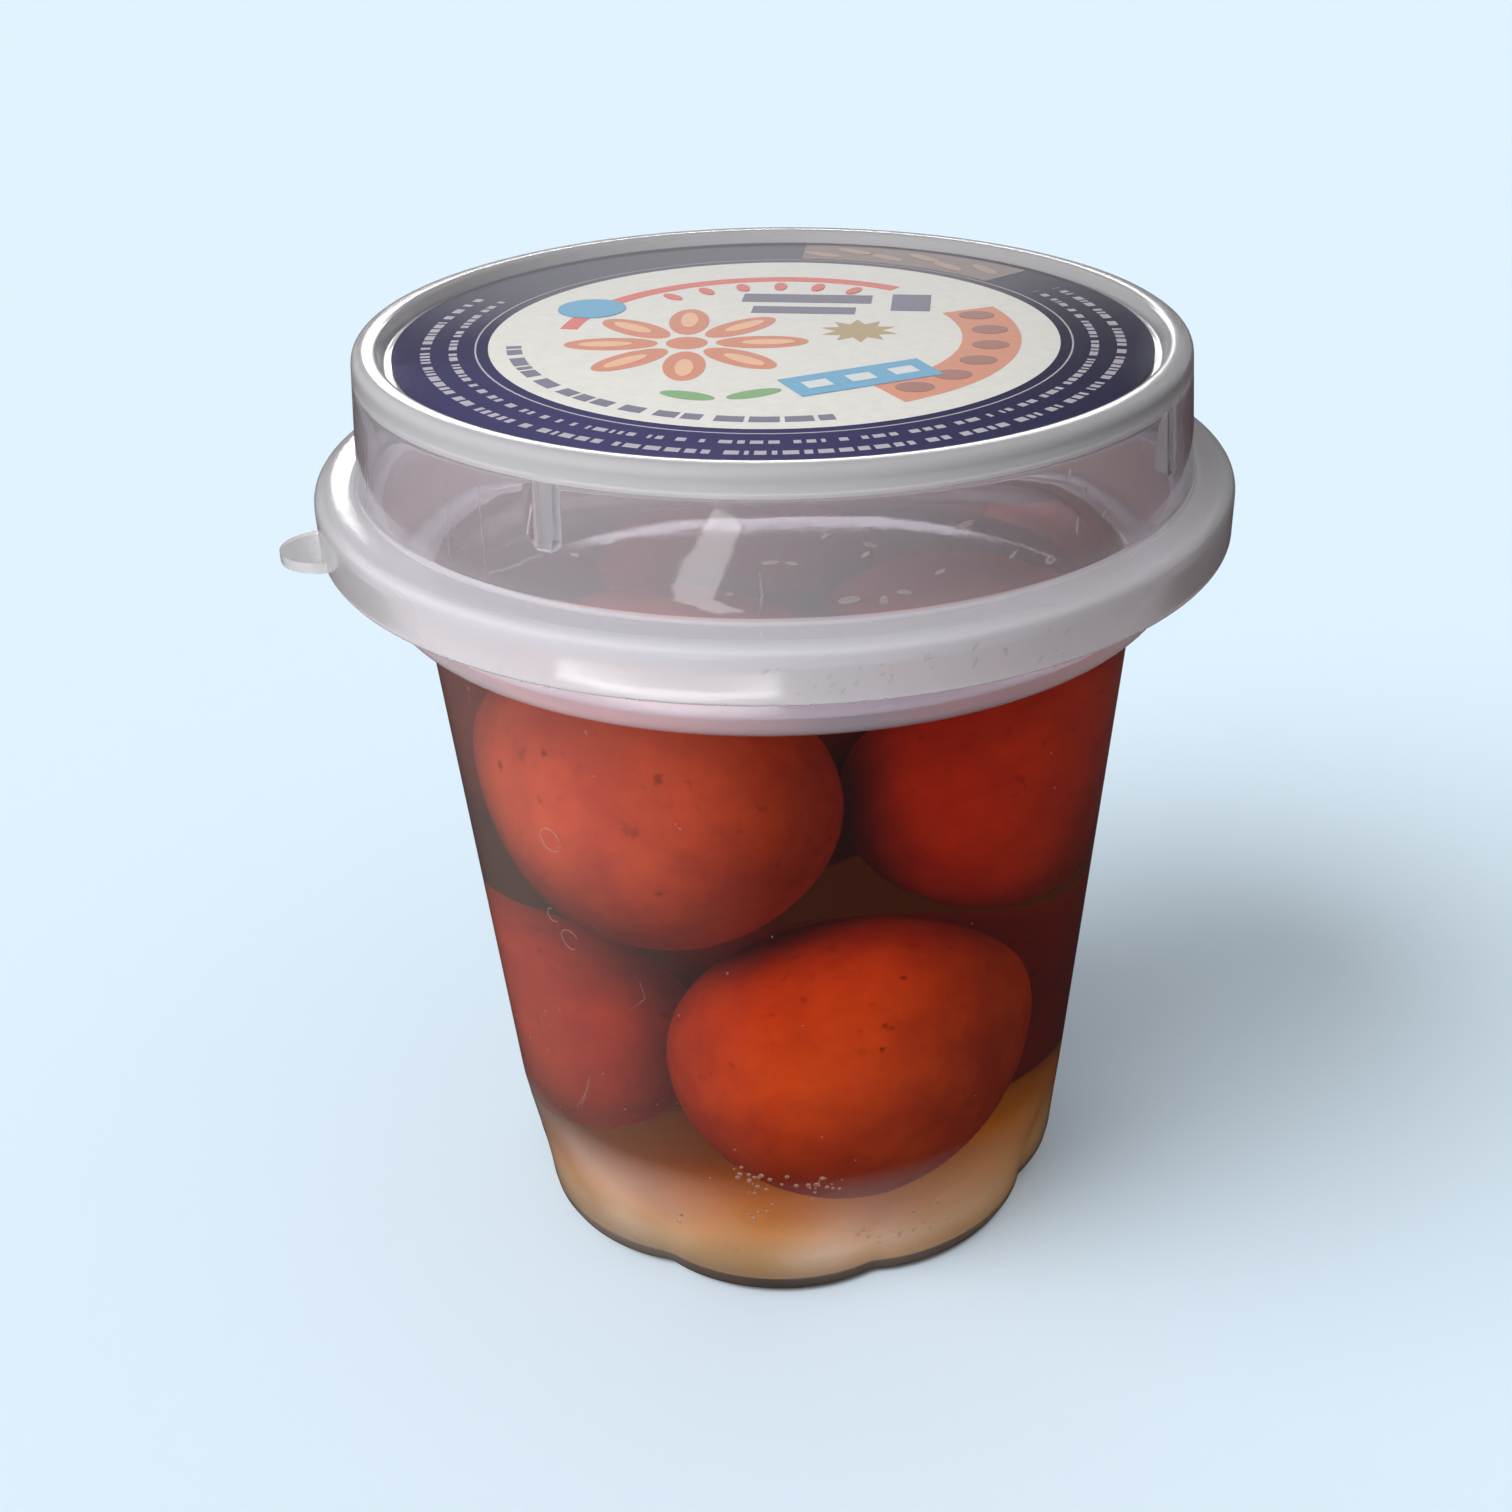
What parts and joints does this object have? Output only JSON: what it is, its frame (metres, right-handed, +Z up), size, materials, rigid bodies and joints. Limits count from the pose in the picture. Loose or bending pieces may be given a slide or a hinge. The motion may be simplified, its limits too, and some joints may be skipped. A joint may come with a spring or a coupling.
{
  "type": "gulab jamun in a lidded tub",
  "caption": "Syrup-soaked milk dumplings in amber syrup, in a clear tapered cup with a scalloped foot and a frosted press-on lid with a round printed label.",
  "frame": {"origin": "centre of the flat base that the tub stands on", "axes": "+Z up through the middle of the lid; -Y towards the front of the lid's label; the pull tab points to -X"},
  "size_m": [0.097, 0.0948, 0.1029],
  "materials": {
    "clear_cup": "clear smooth plastic, faintly hazy",
    "frosted_lid": "frosted clear plastic, satin",
    "label": "printed film, satin",
    "syrup": "clear amber sugar syrup",
    "jamun": "soaked fried milk dough, wet and slightly translucent"
  },
  "bodies": {
    "root": {"cup": "clear_cup", "lid": "frosted_lid", "label": "label", "syrup": "syrup", "jamun_front_lower": "jamun", "jamun_left_upper": "jamun", "jamun_left_lower": "jamun", "jamun_right_upper": "jamun", "jamun_right_lower": "jamun", "jamun_back_upper": "jamun"}
  },
  "joints": []
}
